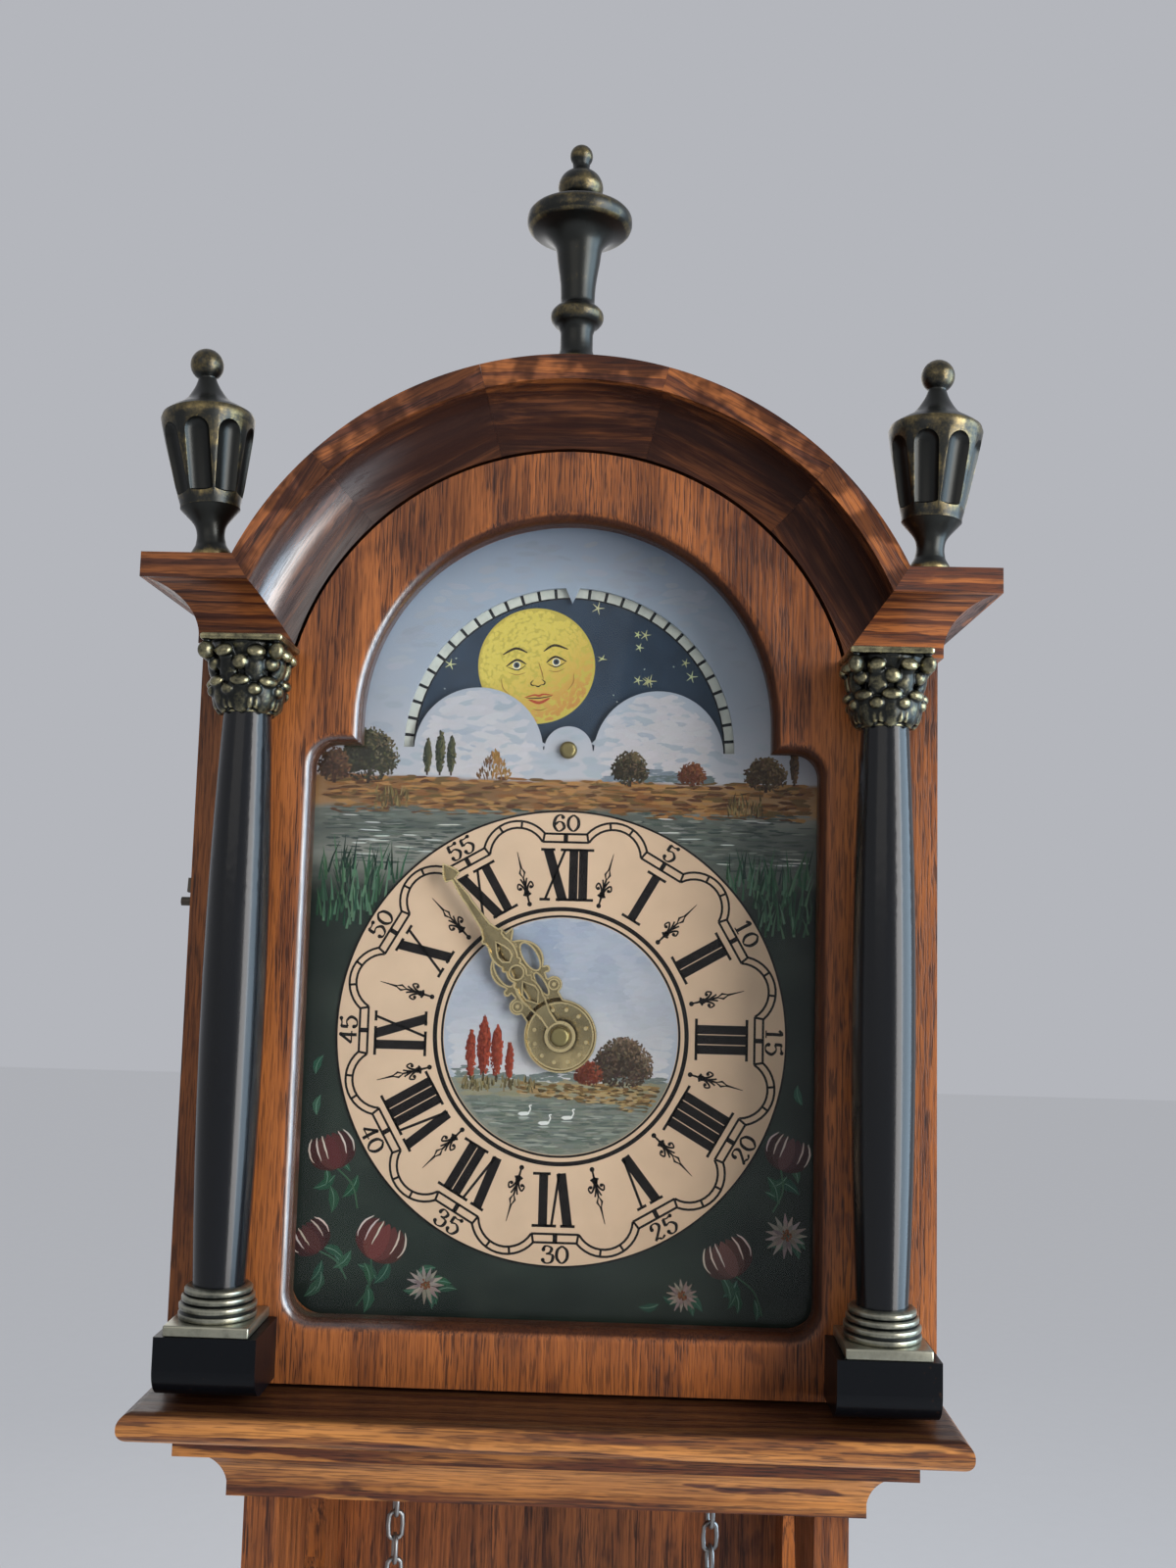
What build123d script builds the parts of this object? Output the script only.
from build123d import *
import math
import os

# A small Frisian tail clock: an arched hood with a moon dial over a slim tail, driven by two chain weights.
# All sizes are in millimetres. X is to the right seen from the front, the front looks along -Y, Z is up.
# The origin lies on the wall face, on the middle line, level with the top of the shelf.

os.makedirs("parts", exist_ok=True)

# Running and seating gaps
fit_gap = 0.3
bearing_gap = 0.06
overrun = 2.0

# Shelf
shelf_reach = 5.0
shelf_thickness = 9.0
shelf_overhang = 30.5
shelf_nose_share = 0.46
chain_hole_width = 15.0

# Hood and door planes, measured forward from the wall
door_front = 150.0
door_thickness = 13.0
door_back_gap = 0.4
frame_thickness = 6.0
hood_half_width = 125.0
side_thickness = 11.0
side_rise = 14.5
shoulder_thickness = 6.5
roof_thickness = 6.0
roof_rise = 20.2
half_turn_deg = 180.0

# Arch of the door and its cornice
arch_centre_height = 218.0
arch_inset = 27.2
arch_spring_rise = 27.0
cornice_height = 27.5
cornice_fillet = 8.5
cornice_plane = 146.5
cornice_reach = 18.3
cornice_bead = 3.4
cornice_bead_reach = 2.3
cornice_step = 2.2
door_gap = 1.5
door_bottom_gap = 1.2
segment_count = 5
segment_joint = 0.1

# Door opening
door_stile_width = 39.0
arch_rail_width = 27.8
opening_bottom = 21.5
opening_arch_rise = 2.0
opening_shoulder_drop = 8.5
opening_corner_radius = 8.0
opening_edge_radius = 4.2
rebate_width = 5.0
glass_thickness = 2.0
glass_depth = 8.5
glass_gap = 0.2

# Door pivots
pivot_inset_x = 4.0
pivot_inset_y = 4.0
pivot_radius = 1.5
pivot_length = 7.0
pin_end_gap = 1.0
pivot_chamfer = 3.2

# Columns on the door
column_inset = 20.0
plinth_width = 32.0
plinth_depth = 27.0
plinth_bottom = 3.2
plinth_height = 19.0
plinth_round = 9.0
base_plate_width = 26.8
base_plate_thickness = 3.4
base_height = 10.0
base_ring_radius = 12.2
base_top_radius = 10.0
base_ring_shares = (1.0, 0.72, 0.38, 0.0)
base_edge_share = 0.3
column_bottom_radius = 8.2
column_belly_radius = 10.0
column_top_radius = 7.8
capital_height = 25.0
capital_top_width = 27.0
capital_neck_radius = 8.6
capital_abacus = 3.0
capital_top_gap = 0.3
capital_curve_share = 1.4
leaf_count = 8
leaf_thickness = 2.6
leaf_width = 7.4
leaf_length = 12.0
leaf_belly_share = 0.62
leaf_lean_deg = 12.0
leaf_row_shares = ((0.02, 0.60, 0.0), (0.36, 0.76, 0.5))

# Dial and moon
dial_front = 126.0
dial_thickness = 1.5
dial_margin = 7.0
frame_margin = 3.0
hand_centre_drop = 100.0
dial_foot_radius = 2.0
dial_foot_x = 48.0
dial_foot_rise = 16.0
dial_foot_drop = 20.0
moon_centre_drop = 6.5
moon_window_margin = 11.2
moon_disc_lap = 2.7
moon_disc_thickness = 1.2
moon_disc_gap = 0.6
moon_hump_share = 0.3912
moon_hump_place_share = 0.5442
moon_hump_drop = 1.1
moon_boss_radius = 8.6
moon_pointer_half_width = 3.4
moon_pointer_depth = 5.6
moon_stud_radius = 1.8
moon_stud_head_radius = 3.1
moon_stud_head_height = 2.2
moon_stud_round_share = 0.7
moon_washer_radius = 5.0
moon_washer_thickness = 0.8

# Hands
hand_thickness = 0.8
hour_hand_lift = 2.0
minute_hand_lift = 4.4
minute_hand_length = 72.5
hour_hand_length = 44.0
hour_disc_radius = 12.6
minute_hub_radius = 5.4
cannon_radius = 2.2
collet_radius = 4.0
dial_hole_radius = 4.3
nut_radius = 3.4
nut_height = 3.0
nut_round_share = 0.4
hand_web = 1.3
minute_angle_deg = 324.0
hour_angle_deg = 327.0

# Outlines of the hands as shares of their lengths: half width and place up the hand
minute_stem_shares = ((0.030, 0.0), (0.030, 0.124), (0.048, 0.192), (0.040, 0.30), (0.036, 0.42), (0.050, 0.55),
                      (0.046, 0.590), (0.028, 0.634), (0.019, 0.77), (0.022, 0.80), (0.011, 0.915))
minute_head_shares = ((0.011, 0.906), (0.042, 0.914), (0.040, 0.938), (0.028, 0.962), (0.0, 1.0))
minute_loop_shares = ((0.25, 0.056, 0.085), (0.366, 0.051, 0.052), (0.482, 0.063, 0.092))
minute_bead_shares = ((0.038, 0.312), (0.040, 0.410), (0.045, 0.575))
minute_bead_share = 0.015
minute_diamond_shares = ((0.0, 0.192), (0.032, 0.236), (0.033, 0.262), (0.0, 0.310))
minute_eye_shares = (0.366, 0.030)
minute_drop_shares = ((0.0, 0.430), (0.024, 0.448), (0.028, 0.474), (0.018, 0.502), (0.0, 0.538))
hour_neck_shares = ((0.168, 0.2), (0.176, 0.36), (0.150, 0.44), (0.168, 0.52), (0.20, 0.60))
hour_lobe_shares = (0.655, 0.222, 0.185)
hour_ear_shares = (0.168, 0.370, 0.066)
hour_knob_shares = (0.182, 0.505, 0.030)
hour_arm_shares = ((0.05, 0.82), (0.115, 0.896), (0.118, 0.925), (0.052, 0.915), (0.046, 0.95), (0.0, 1.0))
hour_crescent_shares = (0.122, 0.655, 0.050, 0.116)
hour_slot_shares = (0.086, 0.425, 0.024, 0.092)

# Seat board and its cheeks
seat_drop = 51.5
seat_thickness = 8.0
seat_front = 104.0
seat_back = 34.0
cheek_inner_x = 64.0
cheek_thickness = 8.0

# Movement
plate_half_width = 60.0
plate_rise = 64.5
plate_thickness = 1.6
front_plate = 102.0
back_plate = 56.0
pillar_radius = 3.5
pillar_inset = 7.0
pillar_low_x = 16.0
chain_x = 58.0
chain_wheel_radius = 14.0
chain_wheel_rise = 22.0
chain_plane = 78.0
chain_wheel_width = 6.0
chain_flange_radius = 17.0
chain_flange_thickness = 1.0
great_wheel_radius = 20.0
great_wheel_setback = 10.0
great_wheel_teeth = 72
wheel_thickness = 1.6
arbor_radius = 1.5
arbor_end_share = 0.125
centre_wheel_radius = 20.0
centre_wheel_teeth = 64
third_wheel_radius = 15.0
third_wheel_teeth = 60
third_wheel_angle_deg = 60.0
tooth_depth = 1.2
rim_depth_share = 2.4
pinion_radius = 3.0
pinion_length = 7.0
mesh_gap = 0.3
escape_wheel_radius = 11.0
escape_wheel_teeth = 30
centre_wheel_setback = 6.5
third_wheel_setback = 16.0
escape_wheel_setback = 30.0
anchor_rise = 19.209
anchor_span = 9.0
anchor_gap = 1.6
anchor_thickness = 3.0

# Pendulum
pendulum_plane = 19.5
pendulum_length = 357.0
pendulum_rod_radius = 1.3
pendulum_spring_width = 6.0
pendulum_spring_thickness = 0.5
pendulum_spring_length = 12.0
bob_radius = 22.0
bob_thickness = 9.0
bob_edge = 2.0
cock_half_width = 5.0
cock_height = 6.0
crutch_radius = 1.2
crutch_drop = 34.0
crutch_plane = 46.0
crutch_pin_radius = 1.0

# Bell and hammer
bell_radius = 21.0
bell_height = 18.0
bell_wall = 1.8
bell_rise = 27.0
bell_plane = 78.0
bell_stud_radius = 2.0
hammer_x = 34.0
hammer_drop = 10.0
hammer_head_radius = 3.5
hammer_head_length = 9.0
hammer_rod_radius = 1.1
hammer_gap = 1.0
hammer_plane = 78.0

# Tail
tail_inset = 27.5
tail_side_thickness = 11.0
tail_case_depth = 38.0
tail_front_thickness = 7.0
back_board_thickness = 8.0
back_board_rise = 5.0
tail_bottom = 300.0
tail_foot_thickness = 8.0
tail_foot_round_share = 0.6
tail_foot_reach = 5.0
bracket_front = 148.0
bracket_straight = 78.0
bracket_foot = 172.0
fret_plane = 82.0
fret_top = 36.0
fret_length = 72.0
fret_lobe_width = 21.0
fret_lean_deg = 13.0
fret_belly_share = 0.55
tail_window_radius = 24.0
tail_window_bevel = 2.5

# Moulding under the shelf
under_height = 24.0
under_fillet = 7.5
under_reach = 18.8
under_step = 3.2
under_foot = 4.5
under_foot_reach = 4.8
under_curve_share = 0.625

# Hanging plate
hanging_hole_drop = 20.0
hanging_hole_radius = 4.0
hanging_plate_width = 40.0
hanging_plate_height = 34.0
hanging_plate_thickness = 2.0

# Hook latch on the left side
hook_height = 156.5
hook_pivot_plane = 122.0
hook_pin_plane = 144.0
hook_pin_radius = 1.5
hook_pin_length = 4.5
hook_thickness = 1.4
hook_arm_width = 4.0
hook_notch_gap = 0.8
hook_claw_overlap = 0.5
hook_open_deg = 8.0
rest_pin_drop = 15.0

# Chains and weights
chain_wire = 1.7
weight_radius = 15.0
weight_length = 105.0
weight_top_drop = 665.0
weight_rim = 1.5
weight_hook_radius = 1.4
weight_hook_size = 5.0
free_end_drop = 26.0
ring_radius = 6.0
ring_wire = 1.4
ring_sides = 8

# Side finials
finial_inset = 1.0
finial_plane = 152.0
finial_foot_radius = 7.1
finial_neck_radius = 5.0
finial_body_bottom_radius = 10.1
finial_shoulder_radius = 15.9
finial_ball_radius = 5.7
finial_foot_height = 5.5
finial_neck_height = 13.0
finial_body_height = 19.0
finial_shoulder_height = 49.0
finial_cone_height = 65.0
finial_height = 76.0
flute_count = 8
flute_radius = 4.6
flute_depth = 1.5

# Centre finial
crown_foot_radius = 5.6
crown_ring_radius = 9.0
crown_stem_low_radius = 6.0
crown_stem_high_radius = 7.9
crown_dish_radius = 18.3
crown_bulb_radius = 7.8
crown_ball_radius = 4.0
crown_height = 81.0
crown_foot_share = 0.17
crown_ring_share = 0.225
crown_stem_share = 0.29
crown_dish_low_share = 0.54
crown_dish_share = 0.64
crown_dish_top_share = 0.68
crown_waist_share = 0.745
crown_bulb_share = 0.81
crown_neck_share = 0.885

# Planes and places worked out from the sizes above
shelf_half_width = hood_half_width + shelf_reach
tail_half_width = hood_half_width - tail_inset
arch_inner_radius = hood_half_width - arch_inset
roof_radius = arch_inner_radius + roof_rise
cornice_bottom = arch_centre_height + arch_spring_rise
side_height = cornice_bottom + side_rise
back_board_top = cornice_bottom + back_board_rise
hanging_hole_height = back_board_top - hanging_hole_drop
opening_half_width = hood_half_width - door_stile_width
opening_arch_radius = arch_inner_radius - arch_rail_width
opening_arch_height = arch_centre_height + opening_arch_rise
opening_shoulder = opening_arch_height - opening_shoulder_drop
moon_centre_height = opening_arch_height - moon_centre_drop
moon_window_radius = opening_arch_radius - moon_window_margin
moon_disc_radius = moon_window_radius + moon_disc_lap
moon_hump_radius = moon_window_radius * moon_hump_share
moon_hump_x = moon_window_radius * moon_hump_place_share
hand_centre_height = moon_centre_height - hand_centre_drop
column_x = hood_half_width - column_inset
finial_x = hood_half_width - finial_inset
seat_top = hand_centre_height - seat_drop
chain_wheel_height = seat_top + chain_wheel_rise
plate_bottom = seat_top
plate_top = hand_centre_height + plate_rise
dial_foot_low = plate_bottom + dial_foot_rise
dial_foot_high = plate_top - dial_foot_drop
bell_centre_height = plate_top + bell_rise
hammer_height = plate_top - hammer_drop
third_distance = centre_wheel_radius + pinion_radius + mesh_gap
third_x = third_distance * math.cos(math.radians(third_wheel_angle_deg))
third_height = hand_centre_height + third_distance * math.sin(math.radians(third_wheel_angle_deg))
escape_height = third_height + math.sqrt((third_wheel_radius + pinion_radius + mesh_gap) ** 2 - third_x ** 2)
anchor_height = escape_height + anchor_rise
arbor_front = front_plate - plate_thickness * arbor_end_share
arbor_back = back_plate + plate_thickness * arbor_end_share
door_back = door_front - door_thickness
frame_front = door_back - door_back_gap
frame_back = frame_front - frame_thickness
shelf_front = door_front + shelf_overhang
cornice_front = cornice_plane + cornice_reach
cornice_top = cornice_bottom + cornice_height
cornice_half_width = hood_half_width + cornice_reach
arch_outer_radius = arch_inner_radius + cornice_height
door_arch_radius = arch_inner_radius - door_gap
door_shoulder = cornice_bottom - door_gap
pivot_x = hood_half_width - pivot_inset_x
pivot_plane = door_front - pivot_inset_y
column_plane = door_front + base_plate_width / 2
plinth_top = plinth_bottom + plinth_height
plate_top_of_base = plinth_top + base_plate_thickness
column_bottom = plate_top_of_base + base_height
capital_top = door_shoulder - capital_top_gap
column_top = capital_top - capital_height
dial_back = dial_front - dial_thickness
minute_front = dial_front + minute_hand_lift + hand_thickness
hour_front = dial_front + hour_hand_lift + hand_thickness
chain_wheel_x = chain_x - chain_wheel_radius
chain_wheel_drum_radius = chain_wheel_radius - chain_wire - fit_gap
under_front_half = tail_half_width + under_reach


def keep(name, shape):
    """Write one piece to its own file."""
    export_step(shape, "parts/" + name + ".step")


def block(x0, x1, y0, y1, z0, z1):
    """A plain box between two corners."""
    size = (x1 - x0, y1 - y0, z1 - z0)
    return Pos((x0 + x1) / 2, (y0 + y1) / 2, (z0 + z1) / 2) * Box(*size)


def slab(sketch, front, back):
    """Raise a front-view sketch between two planes measured forward from the wall."""
    return extrude(Plane.XZ.offset(back) * sketch, amount=front - back)


def side_slab(sketch, x0, x1):
    """Raise a side-view sketch, drawn in Y and Z, between two places in X."""
    return extrude(Plane.YZ.offset(x0) * sketch, amount=x1 - x0)


def polygon(*points):
    """A flat face through straight runs."""
    return make_face(Polyline(*points, close=True))


def rod_y(x, z, radius, front, back):
    """A round bar from front to back."""
    return slab(Pos(x, z) * Circle(radius), front, back)


def rod_z(x, y, radius, z0, z1):
    """A round upright bar."""
    return Pos(x, y, (z0 + z1) / 2) * Cylinder(radius, z1 - z0)


def rod_x(x0, x1, y, z, radius):
    """A round bar from left to right."""
    return side_slab(Pos(y, z) * Circle(radius), x0, x1)


def turned(profile, x, y, z):
    """A turned piece: a face in radius and height, spun about its upright axis."""
    return Pos(x, y, z) * revolve(Plane.XZ * profile, Axis.Z)


def mirrored(shape):
    """The same piece on the other side of the middle line."""
    return mirror(shape, Plane.YZ)


def arch_chord(radius, height):
    """Half the width of a circle about the arch centre at a height."""
    return math.sqrt(radius ** 2 - (height - arch_centre_height) ** 2)


# Outlines seen from the front


def door_outline():
    """The full-width door with its arched head."""
    body_height = door_shoulder - door_bottom_gap
    body = Pos(0, door_bottom_gap + body_height / 2) * Rectangle(2 * hood_half_width, body_height)
    return body + Pos(0, arch_centre_height) * Circle(door_arch_radius)


def opening_outline(margin):
    """The arched and shouldered opening, grown by a margin."""
    half = opening_half_width + margin
    low = opening_bottom - margin
    high = opening_shoulder + margin
    radius = opening_arch_radius + margin
    corner = opening_corner_radius + margin
    field = Pos(0, (low + high) / 2) * RectangleRounded(2 * half, high - low, corner)
    neck_height = opening_arch_height - low
    neck = Pos(0, low + neck_height / 2 + corner) * Rectangle(2 * radius, neck_height - 2 * corner)
    return field + neck + Pos(0, opening_arch_height) * Circle(radius)


def frame_outline():
    """The front board of the hood, square below and arched above."""
    backing = (arch_inner_radius + arch_outer_radius) / 2 + roof_thickness
    square = Pos(0, side_height / 2 + shoulder_thickness / 2)
    square = square * Rectangle(2 * hood_half_width, side_height + shoulder_thickness)
    return square + Pos(0, arch_centre_height) * Circle(backing)


# Cornice


def cornice_profile():
    """Section of the cornice: reach forward from the door plane, rise from its lower edge."""
    fillet_low = cornice_height - cornice_fillet
    cove_top_reach = cornice_reach - cornice_step
    path = [
        Line((0, 0), (cornice_bead_reach, 0)),
        Line((cornice_bead_reach, 0), (cornice_bead_reach, cornice_bead)),
        RadiusArc((cornice_bead_reach, cornice_bead), (cove_top_reach, fillet_low), cornice_fillet * 2),
        Line((cove_top_reach, fillet_low), (cornice_reach, fillet_low)),
        Line((cornice_reach, fillet_low), (cornice_reach, cornice_height)),
        Line((cornice_reach, cornice_height), (0, cornice_height)),
        Line((0, cornice_height), (0, 0)),
    ]
    return make_face(Curve() + path)


def block_mask():
    """Front view of what lies outside the mitre on the right."""
    fillet_low = cornice_top - cornice_fillet
    fillet_radius = arch_outer_radius - cornice_fillet
    far = cornice_half_width + overrun
    return polygon(
        (arch_chord(arch_inner_radius, cornice_bottom), cornice_bottom),
        (arch_chord(fillet_radius, fillet_low), fillet_low),
        (arch_chord(arch_outer_radius, cornice_top), cornice_top),
        (far, cornice_top),
        (far, cornice_bottom),
    )


def arch_mask():
    """Front view of what lies inside both mitres, above the door shoulders."""
    fillet_low = cornice_top - cornice_fillet
    fillet_radius = arch_outer_radius - cornice_fillet
    x0 = arch_chord(arch_inner_radius, cornice_bottom)
    x1 = arch_chord(fillet_radius, fillet_low)
    x2 = arch_chord(arch_outer_radius, cornice_top)
    high = arch_centre_height + arch_outer_radius + overrun
    far = arch_outer_radius + overrun
    right = [(x0, cornice_bottom), (x1, fillet_low), (x2, cornice_top), (far, cornice_top), (far, high)]
    left = [(-x, z) for x, z in reversed(right)]
    return polygon(*right, *left)


def arch_ring():
    """The whole arched moulding before it is cut into segments."""
    section = Plane(origin=(0, -cornice_plane, arch_centre_height), x_dir=(0, -1, 0), z_dir=(-1, 0, 0))
    front = section * (Pos(0, arch_inner_radius) * cornice_profile())
    behind_depth = cornice_plane - frame_front
    behind = section * (Pos(-behind_depth / 2, arch_inner_radius + cornice_height / 2)
                        * Rectangle(behind_depth, cornice_height))
    axis = Axis((0, 0, arch_centre_height), (0, 1, 0))
    return revolve(front, axis, 360) + revolve(behind, axis, 360)


def arch_segments():
    """Cut the arched moulding into equal segments, as it is glued up."""
    ring = arch_ring() & slab(arch_mask(), cornice_front + overrun, frame_front - overrun)
    spring = math.degrees(math.asin((cornice_bottom - arch_centre_height) / arch_inner_radius))
    spread = half_turn_deg - 2 * spring
    step = spread / segment_count
    reach = 2 * arch_outer_radius
    pieces = []
    for i in range(segment_count):
        start = spring + i * step
        if i == 0:
            start = spring - step / 2
        end = spring + (i + 1) * step
        if i == segment_count - 1:
            end = half_turn_deg - spring + step / 2
        corners = [(0, 0)]
        for angle in (start, (start + end) / 2, end):
            corners.append((reach * math.cos(math.radians(angle)), reach * math.sin(math.radians(angle))))
        wedge = Pos(0, arch_centre_height) * polygon(*corners)
        piece = ring & slab(wedge, cornice_front + overrun, frame_front - overrun)
        shift = segment_joint / 2
        pieces.append(piece - saw_cut(end, shift) if i < segment_count - 1 else piece)
    return pieces


def saw_cut(angle, width):
    """A thin cut across the arch at an angle, where two segments are glued."""
    reach = 2 * arch_outer_radius
    cut = Rot(0, 0, angle) * (Pos(reach / 2, -width / 2) * Rectangle(reach, width))
    return slab(Pos(0, arch_centre_height) * cut, cornice_front + overrun, frame_front - overrun)


def moulding_along_x(profile, length):
    """A straight moulding along X, its back on the plane Y = 0."""
    section = Plane(origin=(0, 0, 0), x_dir=(0, -1, 0), z_dir=(-1, 0, 0)) * profile
    return extrude(section, amount=-length)


def moulding_along_y(profile, length):
    """A straight moulding that runs back to the wall, its back on the plane X = 0."""
    return Pos(0, -length, 0) * (Rot(0, 0, 90) * moulding_along_x(profile, length))


def mitre_space(x, y, reach, low, high):
    """The space beside a corner where the side moulding lies, cut at 45 degrees."""
    plan = polygon((x, y), (x + reach, y - reach), (x + reach, 0), (x, 0))
    return extrude(Plane.XY.offset(low) * plan, amount=high - low)


def cornice_blocks():
    """The right front block and the right side return, mitred at the corner."""
    run = cornice_half_width + overrun
    front = Pos(0, -cornice_plane, cornice_bottom) * moulding_along_x(cornice_profile(), run)
    backing = block(0, hood_half_width, -cornice_plane, -frame_front, cornice_bottom, cornice_top)
    front = (front + backing) & slab(block_mask(), cornice_front + overrun, frame_front)
    length = cornice_front + overrun
    side = Pos(hood_half_width, 0, cornice_bottom) * moulding_along_y(cornice_profile(), length)
    mitre = mitre_space(hood_half_width, -cornice_plane, cornice_reach + overrun,
                        cornice_bottom - overrun, cornice_top + overrun)
    return front - mitre, side & mitre


# Finials


def side_finial(x):
    """A turned finial with a fluted body, a hollow cone and a ball."""
    ball_centre = finial_height - finial_ball_radius
    path = [
        Line((0, 0), (finial_foot_radius, 0)),
        Line((finial_foot_radius, 0), (finial_foot_radius, finial_foot_height / 2)),
        Line((finial_foot_radius, finial_foot_height / 2), (finial_neck_radius, finial_foot_height)),
        Line((finial_neck_radius, finial_foot_height), (finial_neck_radius, finial_neck_height)),
        Line((finial_neck_radius, finial_neck_height), (finial_body_bottom_radius - flute_depth, finial_body_height)),
        Line((finial_body_bottom_radius - flute_depth, finial_body_height),
             (finial_body_bottom_radius, finial_body_height)),
        Line((finial_body_bottom_radius, finial_body_height), (finial_shoulder_radius, finial_shoulder_height)),
        Line((finial_shoulder_radius, finial_shoulder_height),
             (finial_shoulder_radius, finial_shoulder_height + flute_depth)),
        RadiusArc((finial_shoulder_radius, finial_shoulder_height + flute_depth),
                  (finial_ball_radius / 2, finial_cone_height), finial_height / 3),
        Line((finial_ball_radius / 2, finial_cone_height), (0, finial_cone_height)),
        Line((0, finial_cone_height), (0, 0)),
    ]
    body = turned(make_face(Curve() + path), 0, 0, 0)
    body += Pos(0, 0, ball_centre) * Sphere(finial_ball_radius)
    lean = math.degrees(math.atan2(finial_shoulder_radius - finial_body_bottom_radius,
                                   finial_shoulder_height - finial_body_height))
    middle_radius = (finial_shoulder_radius + finial_body_bottom_radius) / 2 + flute_radius - flute_depth
    middle_height = (finial_shoulder_height + finial_body_height) / 2
    length = (finial_shoulder_height - finial_body_height) - 2 * flute_radius
    scoop = Cylinder(flute_radius, length) + Pos(0, 0, length / 2) * Sphere(flute_radius)
    scoop = Pos(middle_radius, 0, middle_height) * (Rot(0, lean, 0) * scoop)
    for i in range(flute_count):
        body -= Rot(0, 0, 360 * (i + 0.5) / flute_count) * scoop
    return Pos(x, -finial_plane, cornice_top) * body


def crown_finial():
    """The turned urn finial on the top of the arch."""
    h = crown_height
    ball_centre = h - crown_ball_radius
    bulb_centre = h * crown_bulb_share
    stem = h * crown_stem_share
    dish_low = h * crown_dish_low_share
    dish = h * crown_dish_share
    dish_top = h * crown_dish_top_share
    waist = h * crown_waist_share
    neck = h * crown_neck_share
    ring_half = crown_ring_radius / 3
    ring = h * crown_ring_share
    path = [
        Line((0, 0), (crown_ring_radius, 0)),
        Line((crown_ring_radius, 0), (crown_foot_radius, ring_half)),
        Line((crown_foot_radius, ring_half), (crown_foot_radius, ring - ring_half)),
        ThreePointArc((crown_foot_radius, ring - ring_half), (crown_ring_radius, ring),
                      (crown_stem_low_radius, ring + ring_half)),
        Line((crown_stem_low_radius, ring + ring_half), (crown_stem_low_radius, stem)),
        Line((crown_stem_low_radius, stem), (crown_stem_high_radius, dish_low)),
        RadiusArc((crown_stem_high_radius, dish_low), (crown_dish_radius, dish), crown_dish_radius),
        Line((crown_dish_radius, dish), (crown_dish_radius, dish_top)),
        RadiusArc((crown_dish_radius, dish_top), (crown_foot_radius, waist), crown_dish_radius),
        ThreePointArc((crown_foot_radius, waist), (crown_bulb_radius, bulb_centre), (crown_ball_radius / 2, neck)),
        Line((crown_ball_radius / 2, neck), (crown_ball_radius / 2, ball_centre)),
        Line((crown_ball_radius / 2, ball_centre), (0, ball_centre)),
        Line((0, ball_centre), (0, 0)),
    ]
    body = turned(make_face(Curve() + path), 0, 0, 0) + Pos(0, 0, ball_centre) * Sphere(crown_ball_radius)
    return Pos(0, -finial_plane, arch_centre_height + arch_outer_radius) * body


# Hood


def make_shelf():
    """The shelf with its half-round nose, notched for the back board and holed for chains and pendulum."""
    board = block(-shelf_half_width, shelf_half_width, -shelf_front, 0, -shelf_thickness, 0)
    nose = [e for e in board.edges() if e.center().Y < -overrun and abs(e.length - shelf_thickness) > overrun]
    nose = [e for e in nose if abs(e.center().X) > overrun or e.center().Y < -shelf_front + overrun]
    board = fillet(nose, shelf_thickness * shelf_nose_share)
    half_board = tail_half_width - tail_side_thickness
    board -= block(-half_board, half_board, -back_board_thickness, overrun, -shelf_thickness - overrun, overrun)
    slot = bob_radius + 2 * pendulum_spring_width
    board -= block(-slot, slot, -tail_case_depth + tail_front_thickness, -back_board_thickness,
                   -shelf_thickness - overrun, overrun)
    for x in (-chain_x, chain_x):
        half = chain_hole_width / 2
        board -= block(x - half, x + half, -chain_plane - half, -chain_plane + half,
                       -shelf_thickness - overrun, overrun)
    socket = pivot_radius + bearing_gap
    board -= rod_z(pivot_x, -pivot_plane, socket, -pivot_length, overrun)
    keep("shelf", board)


def make_hood():
    """Side boards, front frame, roof, shoulder boards and the cornice on them."""
    inner = hood_half_width - side_thickness
    side = block(inner, hood_half_width, -frame_back, 0, 0, side_height)
    keep("hood_side_right", side)
    keep("hood_side_left", mirrored(side))
    keep("hood_front_frame", slab(frame_outline() - opening_outline(frame_margin), frame_front, frame_back))
    top = side_height + shoulder_thickness
    ring = Pos(0, arch_centre_height) * (Circle(roof_radius) - Circle(roof_radius - roof_thickness))
    window = Pos(0, top + roof_radius / 2) * Rectangle(2 * roof_radius, roof_radius)
    keep("hood_roof", slab(ring & window, frame_back, 0))
    foot = arch_chord(roof_radius - roof_thickness, top) - roof_thickness
    shoulder = block(foot, hood_half_width, -frame_back, 0, side_height, top)
    keep("hood_shoulders", Compound([shoulder, mirrored(shoulder)]))
    front, side = cornice_blocks()
    socket = rod_z(pivot_x, -pivot_plane, pivot_radius + bearing_gap, cornice_bottom - overrun,
                   cornice_bottom + pivot_length)
    keep("cornice_front_left", mirrored(front))
    keep("cornice_front_right", front - socket)
    keep("cornice_returns", Compound([side, mirrored(side)]))
    for i, piece in enumerate(arch_segments()):
        keep("arch_segment_" + str(i + 1), piece)
    finial = side_finial(finial_x)
    keep("side_finials", Compound([finial, mirrored(finial)]))
    keep("finial_centre", crown_finial())


# Door


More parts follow.
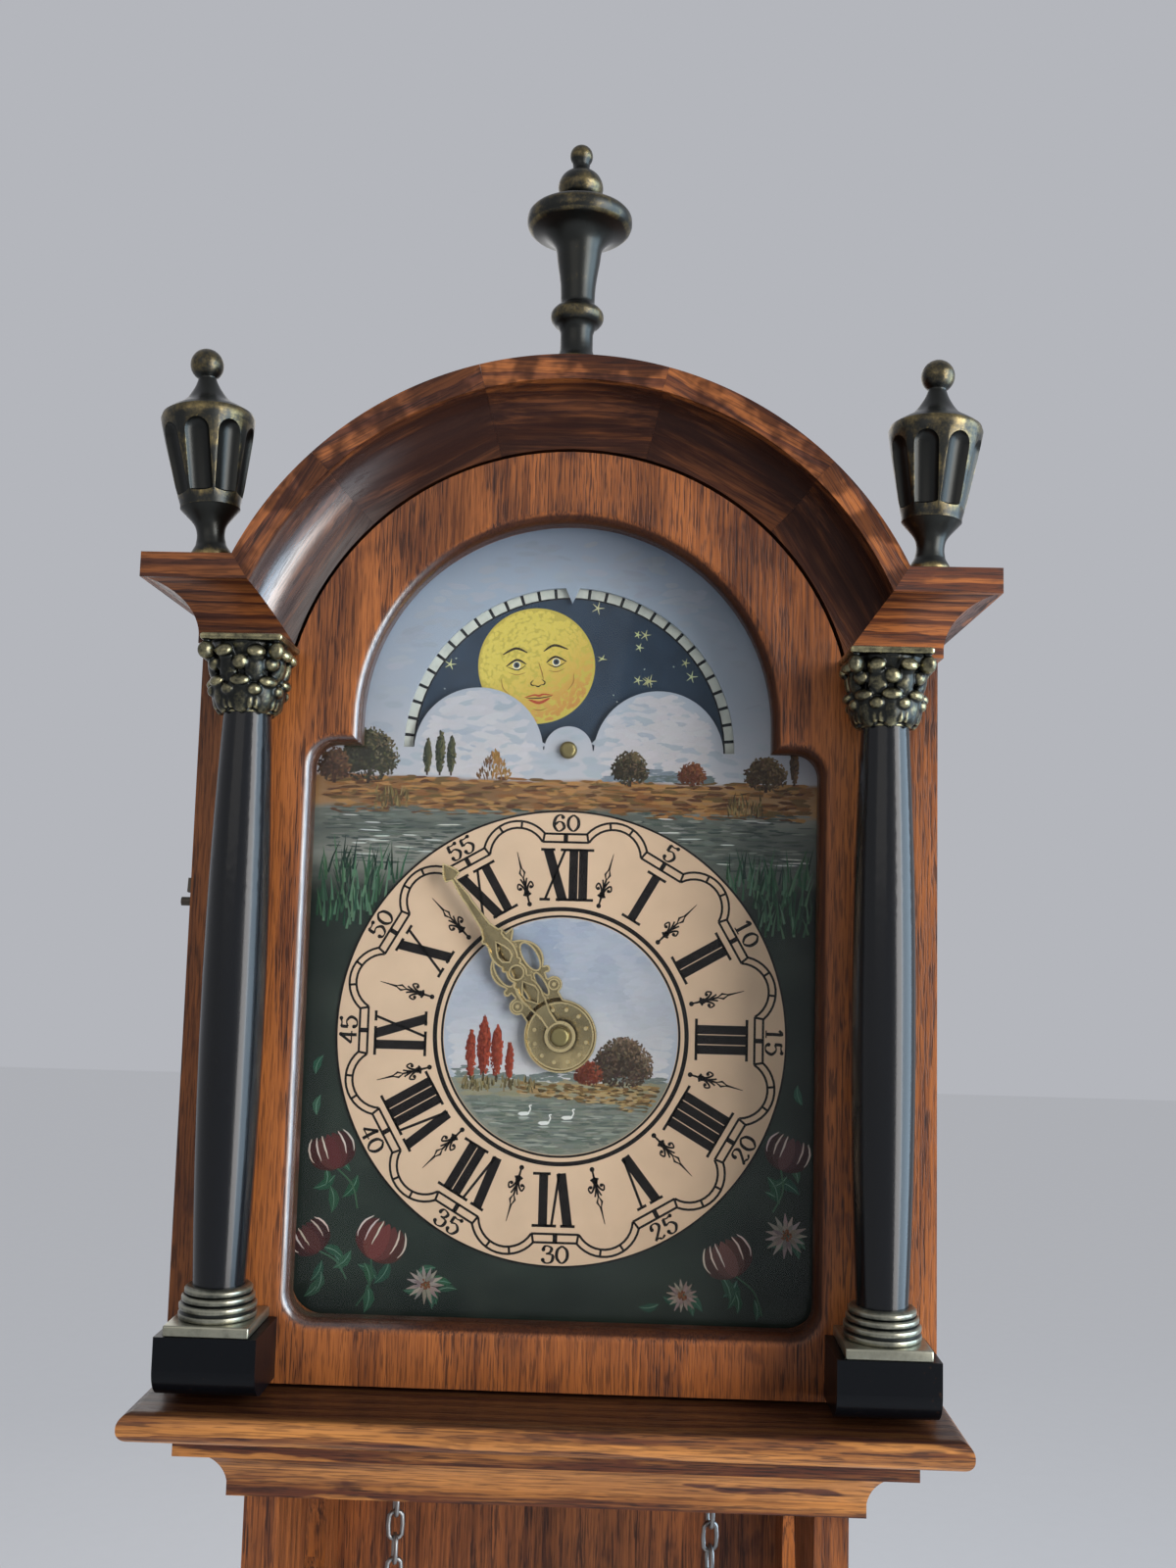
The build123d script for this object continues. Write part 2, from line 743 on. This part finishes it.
def make_door():
    """Door frame with a rounded opening, its glass, and the pins it swings on."""
    frame = slab(door_outline() - opening_outline(0), door_front, door_back)
    front_edges = [e for e in frame.edges() if abs(e.center().Y + door_front) < hand_web / 2]
    inner = [e for e in front_edges if is_opening_edge(e)]
    frame = fillet(inner, opening_edge_radius)
    rebate = slab(opening_outline(rebate_width), door_front - glass_depth, door_back - overrun)
    frame -= rebate
    corner = polygon((hood_half_width, -door_back), (hood_half_width - pivot_chamfer, -door_back),
                     (hood_half_width, -door_back - pivot_chamfer))
    frame -= extrude(corner, amount=cornice_top)
    pin_low = rod_z(pivot_x, -pivot_plane, pivot_radius, pin_end_gap - pivot_length, door_bottom_gap + pivot_length)
    pin_high = rod_z(pivot_x, -pivot_plane, pivot_radius, door_shoulder - pivot_length,
                     cornice_bottom + pivot_length - pin_end_gap)
    catch = rod_x(-hood_half_width - hook_pin_length, -hood_half_width + hook_pin_length,
                  -hook_pin_plane, hook_height, hook_pin_radius)
    frame = frame - pin_low - pin_high - catch
    keep("door_frame", frame)
    keep("door_pins", Compound([pin_low, pin_high, catch]))
    pane = opening_outline(rebate_width - glass_gap)
    keep("door_glass", slab(pane, door_front - glass_depth, door_front - glass_depth - glass_thickness))


def is_opening_edge(edge):
    """Whether a front edge belongs to the opening rather than the outside of the door."""
    middle = edge.position_at(0.5)
    inside_field = abs(middle.X) < opening_half_width + fit_gap
    inside_field = inside_field and opening_bottom - fit_gap < middle.Z < opening_shoulder + fit_gap
    from_arch = math.hypot(middle.X, middle.Z - opening_arch_height)
    return inside_field or from_arch < opening_arch_radius + fit_gap


def make_column():
    """A black turned column with its belly low down, and its pieces above and below."""
    belly = column_bottom + (column_top - column_bottom) / 3
    path = [
        Line((0, column_bottom), (column_bottom_radius, column_bottom)),
        Spline((column_bottom_radius, column_bottom), (column_belly_radius, belly), (column_top_radius, column_top)),
        Line((column_top_radius, column_top), (0, column_top)),
        Line((0, column_top), (0, column_bottom)),
    ]
    shaft = turned(make_face(Curve() + path), column_x, -column_plane, 0)
    keep("columns", Compound([shaft, mirrored(shaft)]))
    half = plinth_width / 2
    plinth = block(column_x - half, column_x + half, -door_front - plinth_depth, -door_front,
                   plinth_bottom, plinth_top)
    low_front = plinth.edges().filter_by(Axis.X).sort_by(lambda e: e.center().Z + e.center().Y)[0]
    plinth = fillet(low_front, plinth_round)
    keep("plinths", Compound([plinth, mirrored(plinth)]))


def make_column_base():
    """The brass base: stepped rings on a square plate."""
    half = base_plate_width / 2
    plate = block(column_x - half, column_x + half, -column_plane - half, -column_plane + half,
                  plinth_top, plate_top_of_base)
    step = base_height / 4
    rings = None
    for i, share in enumerate(base_ring_shares):
        radius = base_top_radius + (base_ring_radius - base_top_radius) * share
        ring = Pos(column_x, -column_plane, plate_top_of_base + (i + 0.5) * step) * Cylinder(radius, step)
        ring = chamfer(ring.edges().filter_by(GeomType.CIRCLE), step * base_edge_share)
        rings = ring if rings is None else rings + ring
    base = plate + rings
    keep("column_bases", Compound([base, mirrored(base)]))


def capital_leaf():
    """One thick leaf of a capital, standing on its foot, its face outward along X."""
    half = leaf_width / 2
    belly = leaf_length * leaf_belly_share
    left = ThreePointArc((0, 0), (-half, belly), (0, leaf_length))
    right = ThreePointArc((0, leaf_length), (half, belly), (0, 0))
    return Rot(0, leaf_lean_deg, 0) * extrude(Plane.YZ * make_face(Curve() + [left, right]), amount=leaf_thickness)


def make_capital():
    """The brass capital: two rows of leaves round a bell that flares up to a thin square top."""
    bell_height = capital_height - capital_abacus
    half = capital_top_width / 2
    rim = half - capital_abacus / 2
    path = [
        Line((0, 0), (capital_neck_radius, 0)),
        RadiusArc((capital_neck_radius, 0), (rim, bell_height), capital_height * capital_curve_share),
        Line((rim, bell_height), (0, bell_height)),
        Line((0, bell_height), (0, 0)),
    ]
    bell = turned(make_face(Curve() + path), 0, 0, 0)
    top = block(-half, half, -half, half, bell_height, capital_height)
    capital = bell + top
    for row_share, reach_share, turn_share in leaf_row_shares:
        leaf = Pos(rim * reach_share, 0, bell_height * row_share) * capital_leaf()
        for i in range(leaf_count):
            capital += Rot(0, 0, 360 * (i + turn_share) / leaf_count) * leaf
    capital = Pos(column_x, -column_plane, column_top) * capital
    capital -= block(0, hood_half_width + half, -door_front, 0, column_top - overrun, capital_top + overrun)
    keep("capitals", Compound([capital, mirrored(capital)]))


# Dial, moon and hands


def make_dial():
    """The arched dial plate with its moon window and riveted feet."""
    plate = opening_outline(dial_margin)
    disc = Pos(0, moon_centre_height) * Circle(moon_window_radius)
    upper = Pos(0, moon_centre_height + moon_window_radius / 2)
    window = disc & (upper * Rectangle(2 * moon_window_radius, moon_window_radius))
    for x in (-moon_hump_x, moon_hump_x):
        window -= Pos(x, moon_centre_height - moon_hump_drop) * Circle(moon_hump_radius)
    window -= Pos(0, moon_centre_height) * Circle(moon_boss_radius)
    tip = moon_centre_height + moon_window_radius - moon_pointer_depth
    high = moon_centre_height + moon_window_radius + overrun
    window -= polygon((0, tip), (-moon_pointer_half_width, high), (moon_pointer_half_width, high))
    faces = sorted(window.faces(), key=lambda f: f.area)
    plate -= faces[-1]
    plate -= Pos(0, hand_centre_height) * Circle(dial_hole_radius)
    plate -= Pos(0, moon_centre_height) * Circle(moon_stud_radius)
    body = slab(plate, dial_front, dial_back)
    for x in (-dial_foot_x, dial_foot_x):
        for z in (dial_foot_low, dial_foot_high):
            body += rod_y(x, z, dial_foot_radius, dial_back, front_plate)
    keep("dial_plate", body)


def make_moon():
    """The moon disc and the stud it turns on."""
    front = dial_back - moon_disc_gap
    back = front - moon_disc_thickness
    ring = Circle(moon_disc_radius) - Circle(moon_stud_radius + bearing_gap)
    keep("moon_disc", slab(Pos(0, moon_centre_height) * ring, front, back))
    stud = rod_y(0, moon_centre_height, moon_stud_radius, dial_front, back - fit_gap)
    washer_back = back - fit_gap - moon_washer_thickness
    stud += rod_y(0, moon_centre_height, moon_washer_radius, back - fit_gap, washer_back)
    head = rod_y(0, moon_centre_height, moon_stud_head_radius, dial_front + moon_stud_head_height, dial_front)
    rim = [e for e in head.edges().filter_by(GeomType.CIRCLE) if e.center().Y < -dial_front - hand_web / 2]
    keep("moon_stud", stud + fillet(rim, moon_stud_head_height * moon_stud_round_share))


def both_sides(shares, reach):
    """A flat face from half widths and places up a hand, the same to the left and right."""
    right = [(half * reach, place * reach) for half, place in shares]
    left = [(-x, z) for x, z in reversed(right) if x > 0]
    return polygon(*right, *left)


def minute_hand_outline():
    """Minute hand drawn upright: hub, three pierced swellings, a slim bar and a barbed head."""
    reach = minute_hand_length
    outline = Circle(minute_hub_radius) + both_sides(minute_stem_shares, reach)
    outline += both_sides(minute_head_shares, reach)
    for place, half, length in minute_loop_shares:
        outline += Pos(0, reach * place) * Ellipse(reach * half, reach * length)
    for half, place in minute_bead_shares:
        for x in (-half, half):
            outline += Pos(reach * x, reach * place) * Circle(reach * minute_bead_share)
    eye_place, eye_share = minute_eye_shares
    outline -= Pos(0, reach * eye_place) * Circle(reach * eye_share)
    outline -= both_sides(minute_diamond_shares, reach)
    return outline - both_sides(minute_drop_shares, reach)


def hour_hand_outline():
    """Hour hand drawn upright: disc, two ears, a pair of open lobes and a barbed tip."""
    reach = hour_hand_length
    place, half, length = hour_lobe_shares
    outline = Circle(hour_disc_radius) + both_sides(hour_neck_shares, reach)
    outline += Pos(0, reach * place) * Ellipse(reach * half, reach * length)
    outline += both_sides(hour_arm_shares, reach)
    for across, up, radius in (hour_ear_shares, hour_knob_shares):
        for side in (-1, 1):
            outline += Pos(side * reach * across, reach * up) * Circle(reach * radius)
    for across, up, half, length in (hour_crescent_shares, hour_slot_shares):
        for side in (-1, 1):
            outline -= Pos(side * reach * across, reach * up) * Ellipse(reach * half, reach * length)
    return outline


def make_hands():
    """Hour hand with its collet, minute hand, and the nut that holds them."""
    hour = Pos(0, hand_centre_height) * (Rot(0, 0, -hour_angle_deg) * hour_hand_outline())
    running = Pos(0, hand_centre_height) * Circle(cannon_radius + bearing_gap)
    hour = slab(hour - running, hour_front, hour_front - hand_thickness)
    collet = Pos(0, hand_centre_height) * Circle(collet_radius)
    hour += slab(collet - running, hour_front - hand_thickness, front_plate + plate_thickness)
    keep("hour_hand", hour)
    minute = Pos(0, hand_centre_height) * (Rot(0, 0, -minute_angle_deg) * minute_hand_outline())
    bore = Pos(0, hand_centre_height) * Circle(cannon_radius)
    keep("minute_hand", slab(minute - bore, minute_front, minute_front - hand_thickness))
    nut = rod_y(0, hand_centre_height, nut_radius, minute_front + nut_height, minute_front)
    rim = [e for e in nut.edges().filter_by(GeomType.CIRCLE) if e.center().Y < -minute_front - hand_web / 2]
    keep("hand_nut", fillet(rim, nut_height * nut_round_share))


# Movement


def make_frame_plates():
    """Seat board on two cheeks, two brass plates and four pillars."""
    seat = block(-cheek_inner_x - cheek_thickness, cheek_inner_x + cheek_thickness, -seat_front, -seat_back,
                 seat_top - seat_thickness, seat_top)
    half = chain_hole_width / 2
    for side in (-1, 1):
        outer = side * (chain_x + half - hand_web)
        inner = side * (chain_wheel_x - chain_wheel_radius - half)
        low, high = min(outer, inner), max(outer, inner)
        seat -= block(low, high, -chain_plane - half, -chain_plane + half,
                      seat_top - seat_thickness - overrun, seat_top + overrun)
    keep("seat_board", seat)
    cheek = block(cheek_inner_x, cheek_inner_x + cheek_thickness, -seat_front, -back_board_thickness,
                  0, seat_top - seat_thickness)
    keep("seat_cheeks", Compound([cheek, mirrored(cheek)]))
    centre = plate_bottom + (plate_top - plate_bottom) / 2
    outline = Pos(0, centre) * Rectangle(2 * plate_half_width, plate_top - plate_bottom)
    bearings = arbor_places()
    for x, z, radius in bearings:
        outline -= Pos(x, z) * Circle(radius + bearing_gap)
    keep("movement_front_plate", slab(outline, front_plate, front_plate - plate_thickness))
    keep("movement_back_plate", slab(outline, back_plate + plate_thickness, back_plate))
    pillars = []
    places = ((pillar_low_x, plate_bottom + pillar_inset), (plate_half_width - pillar_inset, plate_top - pillar_inset))
    for x, z in places:
        pillar = rod_y(x, z, pillar_radius, front_plate - plate_thickness, back_plate + plate_thickness)
        pillars += [pillar, mirrored(pillar)]
    keep("movement_pillars", Compound(pillars))


def arbor_places():
    """Every arbor that turns in the plates: place and radius."""
    return [
        (0, hand_centre_height, arbor_radius),
        (third_x, third_height, arbor_radius),
        (0, escape_height, arbor_radius),
        (0, anchor_height, arbor_radius),
        (chain_wheel_x, chain_wheel_height, arbor_radius),
        (-chain_wheel_x, chain_wheel_height, arbor_radius),
        (hammer_x, hammer_height, hammer_rod_radius),
    ]


def toothed(radius, teeth):
    """Outline of a wheel with pointed teeth and a crossed-out web."""
    points = []
    for i in range(teeth):
        for turn, reach in ((i, radius), (i + 0.5, radius - tooth_depth)):
            angle = 2 * math.pi * turn / teeth
            points.append((reach * math.cos(angle), reach * math.sin(angle)))
    wheel = polygon(*points)
    rim = radius - tooth_depth * rim_depth_share
    hub = 2 * arbor_radius
    web = Circle(rim) - Circle(hub) - Rectangle(2 * rim, hub) - Rectangle(hub, 2 * rim)
    return wheel - web


def wheel_on_arbor(x, z, radius, teeth, setback, arbor):
    """A crossed wheel on its arbor, set behind the front plate."""
    face = front_plate - plate_thickness - setback
    wheel = slab(Pos(x, z) * toothed(radius, teeth), face, face - wheel_thickness)
    return wheel + rod_y(x, z, arbor, arbor_front, arbor_back)


def make_train():
    """Centre, third and escape wheels with their pinions."""
    centre = wheel_on_arbor(0, hand_centre_height, centre_wheel_radius, centre_wheel_teeth,
                            centre_wheel_setback, arbor_radius)
    centre += rod_y(0, hand_centre_height, cannon_radius, minute_front, front_plate + fit_gap)
    centre += rod_y(0, hand_centre_height, arbor_radius, front_plate + fit_gap, front_plate - plate_thickness)
    keep("centre_wheel", centre)
    third = wheel_on_arbor(third_x, third_height, third_wheel_radius, third_wheel_teeth,
                           third_wheel_setback, arbor_radius)
    face = front_plate - plate_thickness - centre_wheel_setback + pinion_length / 3
    third += rod_y(third_x, third_height, pinion_radius, face, face - pinion_length)
    keep("third_wheel", third)
    escape = wheel_on_arbor(0, escape_height, escape_wheel_radius, escape_wheel_teeth,
                            escape_wheel_setback, arbor_radius)
    face = front_plate - plate_thickness - third_wheel_setback + pinion_length / 3
    escape += rod_y(0, escape_height, pinion_radius, face, face - pinion_length)
    keep("escape_wheel", escape)


def make_anchor():
    """The anchor over the escape wheel, with the crutch that reaches back to the pendulum rod."""
    face = front_plate - plate_thickness - escape_wheel_setback + anchor_thickness / 4
    top = escape_height
    inner = escape_wheel_radius + anchor_gap
    ring = Pos(0, top) * (Circle(inner + anchor_thickness) - Circle(inner))
    cap = Pos(0, top + inner) * Rectangle(2 * anchor_span, 2 * anchor_thickness + anchor_gap)
    arms = (ring & cap) + Pos(0, (top + inner + anchor_height) / 2) * Rectangle(
        anchor_thickness, anchor_height - top - inner)
    anchor = slab(arms + Pos(0, anchor_height) * Circle(anchor_thickness), face, face - anchor_thickness)
    tail = crutch_plane - crutch_radius
    anchor += rod_y(0, anchor_height, arbor_radius, arbor_front, tail)
    drop = block(-crutch_radius, crutch_radius, -crutch_plane - crutch_radius, -tail,
                 anchor_height - crutch_drop, anchor_height)
    fork_x = pendulum_rod_radius + fit_gap + crutch_pin_radius
    low = anchor_height - crutch_drop
    bridge = block(-fork_x, fork_x, -crutch_plane - crutch_radius, -tail, low, low + 2 * crutch_radius)
    pins = None
    for x in (-fork_x, fork_x):
        pin = rod_y(x, low + crutch_radius, crutch_pin_radius, crutch_plane, pendulum_plane - overrun)
        pins = pin if pins is None else pins + pin
    keep("anchor", anchor + drop + bridge + pins)


def make_pendulum():
    """The cock on the back plate, and the pendulum that hangs from it by a flat spring."""
    cock_bottom = anchor_height + fit_gap
    half = cock_half_width
    rear = pendulum_plane - cock_half_width
    cock = block(-half, half, -back_plate, -rear, cock_bottom + cock_height / 2, cock_bottom + 1.5 * cock_height)
    arbor_room = rod_y(0, anchor_height, arbor_radius + fit_gap, back_plate, rear)
    jaw = block(-half, half, -pendulum_plane - cock_half_width, -rear, cock_bottom, cock_bottom + cock_height)
    keep("pendulum_cock", cock + jaw - arbor_room)
    spring_top = anchor_height
    spring_bottom = spring_top - pendulum_spring_length
    spring = block(-pendulum_spring_thickness / 2, pendulum_spring_thickness / 2,
                   -pendulum_plane - pendulum_spring_width / 2, -pendulum_plane + pendulum_spring_width / 2,
                   spring_bottom, spring_top)
    bob_height = anchor_height - pendulum_length
    end = bob_height - bob_radius - bob_edge
    rod = Pos(0, -pendulum_plane, (spring_bottom + end) / 2) * Cylinder(pendulum_rod_radius, spring_bottom - end)
    clip = Pos(0, -pendulum_plane, spring_bottom) * Box(
        2 * pendulum_rod_radius, pendulum_spring_width, 2 * pendulum_rod_radius)
    keep("pendulum_rod", spring + rod + clip)
    half = bob_thickness / 2
    path = [
        Line((0, -half), (bob_radius / 2, -half)),
        Line((bob_radius / 2, -half), (bob_radius, -bob_edge / 2)),
        Line((bob_radius, -bob_edge / 2), (bob_radius, bob_edge / 2)),
        Line((bob_radius, bob_edge / 2), (bob_radius / 2, half)),
        Line((bob_radius / 2, half), (0, half)),
        Line((0, half), (0, -half)),
    ]
    lens = Rot(90, 0, 0) * revolve(Plane.XZ * make_face(Curve() + path), Axis.Z)
    lens = Pos(0, -pendulum_plane, bob_height) * lens
    bore = Pos(0, -pendulum_plane, bob_height) * Cylinder(pendulum_rod_radius, 2 * bob_radius + overrun)
    keep("pendulum_bob", lens - bore)


def make_chain_wheels():
    """A flanged chain wheel with its great wheel on each side."""
    for side, name in ((1, "going_chain_wheel"), (-1, "strike_chain_wheel")):
        x = side * chain_wheel_x
        z = chain_wheel_height
        wheel = wheel_on_arbor(x, z, great_wheel_radius, great_wheel_teeth, great_wheel_setback, arbor_radius)
        half = chain_wheel_width / 2
        wheel += rod_y(x, z, chain_wheel_drum_radius, chain_plane + half, chain_plane - half)
        for face in (chain_plane + half + chain_flange_thickness, chain_plane - half):
            wheel += rod_y(x, z, chain_flange_radius, face, face - chain_flange_thickness)
        keep(name, wheel)


def make_bell():
    """The bell on its stand, and the hammer beside it."""
    outer = bell_radius
    path = [
        Line((0, 0), (bell_stud_radius * 3, 0)),
        RadiusArc((bell_stud_radius * 3, 0), (outer, -bell_height), -bell_radius),
        Line((outer, -bell_height), (outer - bell_wall, -bell_height)),
        RadiusArc((outer - bell_wall, -bell_height), (bell_stud_radius * 3, -bell_wall), bell_radius),
        Line((bell_stud_radius * 3, -bell_wall), (0, -bell_wall)),
        Line((0, -bell_wall), (0, 0)),
    ]
    top = bell_centre_height + bell_height / 2
    bell = turned(make_face(Curve() + path), 0, -bell_plane, top)
    hole = Pos(0, -bell_plane, top) * Cylinder(bell_stud_radius, 3 * bell_wall)
    keep("bell", bell - hole)
    stand = Pos(0, -bell_plane, (plate_top + overrun + top) / 2)
    stand = stand * Cylinder(bell_stud_radius, top - plate_top + overrun)
    foot_top = plate_top + 2 * plate_thickness
    foot = block(-pillar_radius * 2, pillar_radius * 2, -bell_plane - pillar_radius, -back_plate,
                 plate_top, foot_top)
    nut = Pos(0, -bell_plane, top + bell_wall) * Cylinder(2 * bell_stud_radius, 2 * bell_wall)
    seat = Pos(0, -bell_plane, top - 2 * bell_wall) * Cylinder(2 * bell_stud_radius, 2 * bell_wall)
    keep("bell_stand", stand + foot + nut + seat)
    reach = bell_radius + hammer_gap + hammer_head_length / 2
    head_height = bell_centre_height - bell_height / 2 + hammer_head_radius
    head = Pos(reach, -hammer_plane, head_height) * (Rot(0, 90, 0) * Cylinder(hammer_head_radius, hammer_head_length))
    arm = block(hammer_x - hammer_rod_radius, hammer_x + hammer_rod_radius,
                -hammer_plane - hammer_rod_radius, -hammer_plane + hammer_rod_radius, hammer_height, head_height)
    link = block(reach, hammer_x + hammer_rod_radius, -hammer_plane - hammer_rod_radius,
                 -hammer_plane + hammer_rod_radius, head_height - hammer_rod_radius, head_height + hammer_rod_radius)
    arbor = rod_y(hammer_x, hammer_height, hammer_rod_radius, arbor_front, arbor_back)
    keep("hammer", head + arm + link + arbor)


# Chains and weights


def wire_ring(x, z, radius, wire):
    """A ring of wire that faces the front, with flat sides round its wire."""
    section = Pos(radius, 0) * RegularPolygon(wire, ring_sides)
    return Pos(x, -chain_plane, z) * (Rot(90, 0, 0) * revolve(Plane.XZ * section, Axis.Z))


def make_weights():
    """Two chain strands, their free ends, and a brass weight on each."""
    free_ends = []
    for side, name in ((1, "going"), (-1, "strike")):
        x = side * chain_x
        top = chain_wheel_height
        bottom = -weight_top_drop
        strand = block(x - chain_wire, x + chain_wire, -chain_plane - chain_wire, -chain_plane + chain_wire,
                       bottom, top)
        keep(name + "_chain", strand)
        hook = wire_ring(x, bottom - weight_hook_size, weight_hook_size - weight_hook_radius, weight_hook_radius)
        body_top = bottom - 2 * weight_hook_size + weight_hook_radius / 2
        body = Pos(x, -chain_plane, body_top - weight_length / 2) * Cylinder(weight_radius, weight_length)
        body = fillet(body.edges().filter_by(GeomType.CIRCLE), weight_rim)
        keep(name + "_weight", body + hook)
        inner_x = side * (chain_wheel_x - chain_wheel_radius)
        end = chain_wheel_height - free_end_drop
        strand = block(inner_x - chain_wire, inner_x + chain_wire, -chain_plane - chain_wire,
                       -chain_plane + chain_wire, end, top)
        ring = wire_ring(inner_x, end - ring_radius + ring_wire, ring_radius - ring_wire, ring_wire)
        free_ends.append(strand + ring)
    keep("chain_free_ends", Compound(free_ends))


# Tail


def fret_lobe(lean):
    """One leaf of the fret in a bracket, hung from its top point."""
    half = fret_lobe_width / 2
    length = fret_length
    belly = -length * fret_belly_share
    left = ThreePointArc((0, 0), (-half, belly), (0, -length))
    right = ThreePointArc((0, -length), (half, belly), (0, 0))
    return Rot(0, 0, lean) * make_face(Curve() + [left, right])


def make_tail():
    """Back board, front board with its round window, sides with pierced brackets, and the foot."""
    inner = tail_half_width - tail_side_thickness
    keep("tail_back_board", make_back_board(inner))
    front = Pos(0, -(shelf_thickness + tail_bottom) / 2) * Rectangle(2 * inner, tail_bottom - shelf_thickness)
    front = slab(front, tail_case_depth, tail_case_depth - tail_front_thickness)
    bob_height = anchor_height - pendulum_length
    front -= rod_y(0, bob_height, tail_window_radius, tail_case_depth + overrun, back_board_thickness)
    edge = [e for e in front.edges().filter_by(GeomType.CIRCLE) if e.center().Y < -tail_case_depth + hand_web / 2]
    keep("tail_front_board", chamfer(edge, tail_window_bevel))
    outline = [
        Line((0, -shelf_thickness), (-bracket_front, -shelf_thickness)),
        Line((-bracket_front, -shelf_thickness), (-bracket_front, -bracket_straight)),
        Spline((-bracket_front, -bracket_straight), (-tail_case_depth, -bracket_foot),
               tangents=((0, -1), (0, -1))),
        Line((-tail_case_depth, -bracket_foot), (-tail_case_depth, -tail_bottom)),
        Line((-tail_case_depth, -tail_bottom), (0, -tail_bottom)),
        Line((0, -tail_bottom), (0, -shelf_thickness)),
    ]
    board = make_face(Curve() + outline)
    lobes = fret_lobe(-fret_lean_deg) + fret_lobe(fret_lean_deg)
    board -= Pos(-fret_plane, -fret_top) * lobes
    side = side_slab(board, inner, tail_half_width)
    keep("tail_side_right", side)
    keep("tail_side_left", mirrored(side))
    reach = tail_half_width + tail_foot_reach
    foot = block(-reach, reach, -tail_case_depth - tail_foot_reach, 0, -tail_bottom - tail_foot_thickness, -tail_bottom)
    rim = foot.edges().filter_by(Axis.Z, reverse=True)
    rim = [e for e in rim if e.center().Y < -overrun and e.center().Z > -tail_bottom - overrun]
    keep("tail_foot", fillet(rim, tail_foot_thickness * tail_foot_round_share))


def make_back_board(inner):
    """The long board against the wall, with the hanging hole near its top."""
    height = back_board_top + tail_bottom
    board = Pos(0, (back_board_top - tail_bottom) / 2) * Rectangle(2 * inner, height)
    board -= Pos(0, hanging_hole_height) * Circle(hanging_hole_radius)
    return slab(board, back_board_thickness, 0)


def make_hanging_plate():
    """The steel plate screwed over the hanging hole."""
    plate = Pos(0, hanging_hole_height) * RectangleRounded(hanging_plate_width, hanging_plate_height,
                                                           hanging_hole_radius)
    plate -= Pos(0, hanging_hole_height) * Circle(hanging_hole_radius)
    front = back_board_thickness + hanging_plate_thickness
    keep("hanging_plate", slab(plate, front, back_board_thickness))


def under_profile():
    """Section of the moulding under the shelf: reach outward, height down from the shelf."""
    cove_high = -under_fillet
    cove_reach = under_reach - under_step
    foot_high = -under_height + under_foot
    path = [
        Line((0, 0), (under_reach, 0)),
        Line((under_reach, 0), (under_reach, cove_high)),
        Line((under_reach, cove_high), (cove_reach, cove_high)),
        RadiusArc((cove_reach, cove_high), (under_foot_reach, foot_high), -under_height * under_curve_share),
        Line((under_foot_reach, foot_high), (under_foot_reach, -under_height)),
        Line((under_foot_reach, -under_height), (0, -under_height)),
        Line((0, -under_height), (0, 0)),
    ]
    return make_face(Curve() + path)


def make_under_moulding():
    """Three mitred lengths of cove moulding under the shelf."""
    top = -shelf_thickness
    half = under_front_half + overrun
    front = Pos(-half, -bracket_front, top) * moulding_along_x(under_profile(), 2 * half)
    length = bracket_front + under_reach + overrun
    side = Pos(tail_half_width, 0, top) * moulding_along_y(under_profile(), length)
    mitre = mitre_space(tail_half_width, -bracket_front, under_reach + 2 * overrun,
                        top - under_height - overrun, top + overrun)
    front = front - mitre - mirrored(mitre)
    side = side & mitre
    keep("shelf_moulding", Compound([front, side, mirrored(side)]))


def make_latch():
    """A small hook on the hood's left side, drawn a little lifted off its catch pin, and its two screws."""
    wall = -hood_half_width
    inner = wall - fit_gap
    outer = inner - hook_thickness
    notch = hook_pin_radius + hook_notch_gap
    far = hook_pin_plane + notch + hook_arm_width / 2
    eye = Pos(-hook_pivot_plane, hook_height) * Circle(hook_arm_width)
    arm = polygon(
        (-hook_pivot_plane, hook_height - hook_arm_width / 2),
        (-hook_pin_plane + notch, hook_height - hook_arm_width / 2),
        (-hook_pin_plane + notch, hook_height + notch),
        (-hook_pin_plane - notch, hook_height + notch),
        (-hook_pin_plane - notch, hook_height - hook_claw_overlap),
        (-far, hook_height - hook_claw_overlap),
        (-far, hook_height + notch + hook_arm_width / 2),
        (-hook_pin_plane + notch, hook_height + notch + hook_arm_width / 2),
        (-hook_pivot_plane, hook_height + hook_arm_width / 2),
    )
    hole = Pos(-hook_pivot_plane, hook_height) * Circle(hook_pin_radius + bearing_gap)
    hook = side_slab(eye + arm - hole, outer, inner)
    turn = Pos(0, -hook_pivot_plane, hook_height) * Rot(-hook_open_deg, 0, 0)
    keep("hook_latch", turn * (Pos(0, hook_pivot_plane, -hook_height) * hook))
    head_inner = outer - fit_gap
    screw = rod_x(head_inner, wall, -hook_pivot_plane, hook_height, hook_pin_radius)
    screw += rod_x(head_inner - hook_thickness, head_inner, -hook_pivot_plane, hook_height, 2 * hook_pin_radius)
    rest = rod_x(outer, wall, -hook_pivot_plane - hook_arm_width, hook_height - rest_pin_drop, hook_pin_radius)
    keep("latch_screws", Compound([screw, rest]))


make_shelf()
make_hood()
make_door()
make_column()
make_column_base()
make_capital()
make_dial()
make_moon()
make_hands()
make_frame_plates()
make_train()
make_anchor()
make_pendulum()
make_chain_wheels()
make_bell()
make_weights()
make_tail()
make_hanging_plate()
make_under_moulding()
make_latch()
